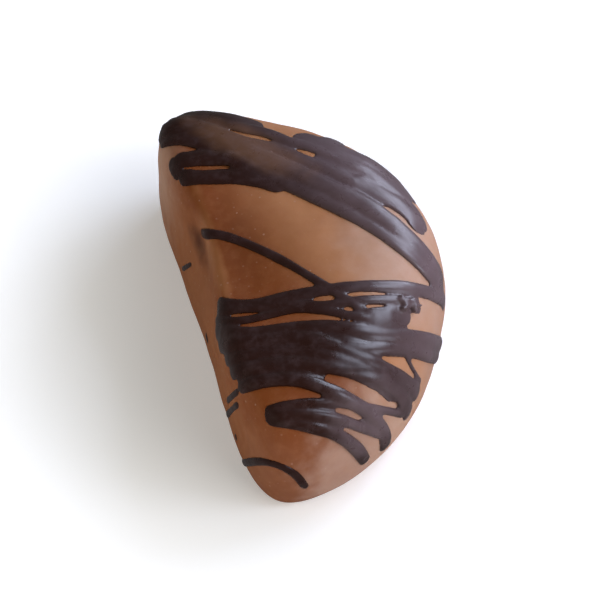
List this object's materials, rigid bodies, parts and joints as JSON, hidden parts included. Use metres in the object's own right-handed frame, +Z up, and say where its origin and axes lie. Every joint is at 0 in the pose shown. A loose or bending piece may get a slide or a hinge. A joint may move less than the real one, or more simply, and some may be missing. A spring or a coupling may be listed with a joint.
{
  "type": "glace apricot slice",
  "caption": "Half of a flattened glace apricot, coated all over in milk chocolate and drizzled with dark chocolate, lying flat with the broad face up.",
  "frame": {"origin": "centre of the flat base, under the middle of the slice's box", "axes": "+Y along the cut edge towards the far tip, +X from the cut edge to the round side, +Z up from the flat base to the broad drizzled face"},
  "size_m": [0.0314, 0.0544, 0.0185],
  "materials": {
    "coated_slice": "milk chocolate coat with a soft satin sheen, under drizzle of dark chocolate"
  },
  "bodies": {
    "root": {"coated_slice": "coated_slice"}
  },
  "joints": []
}
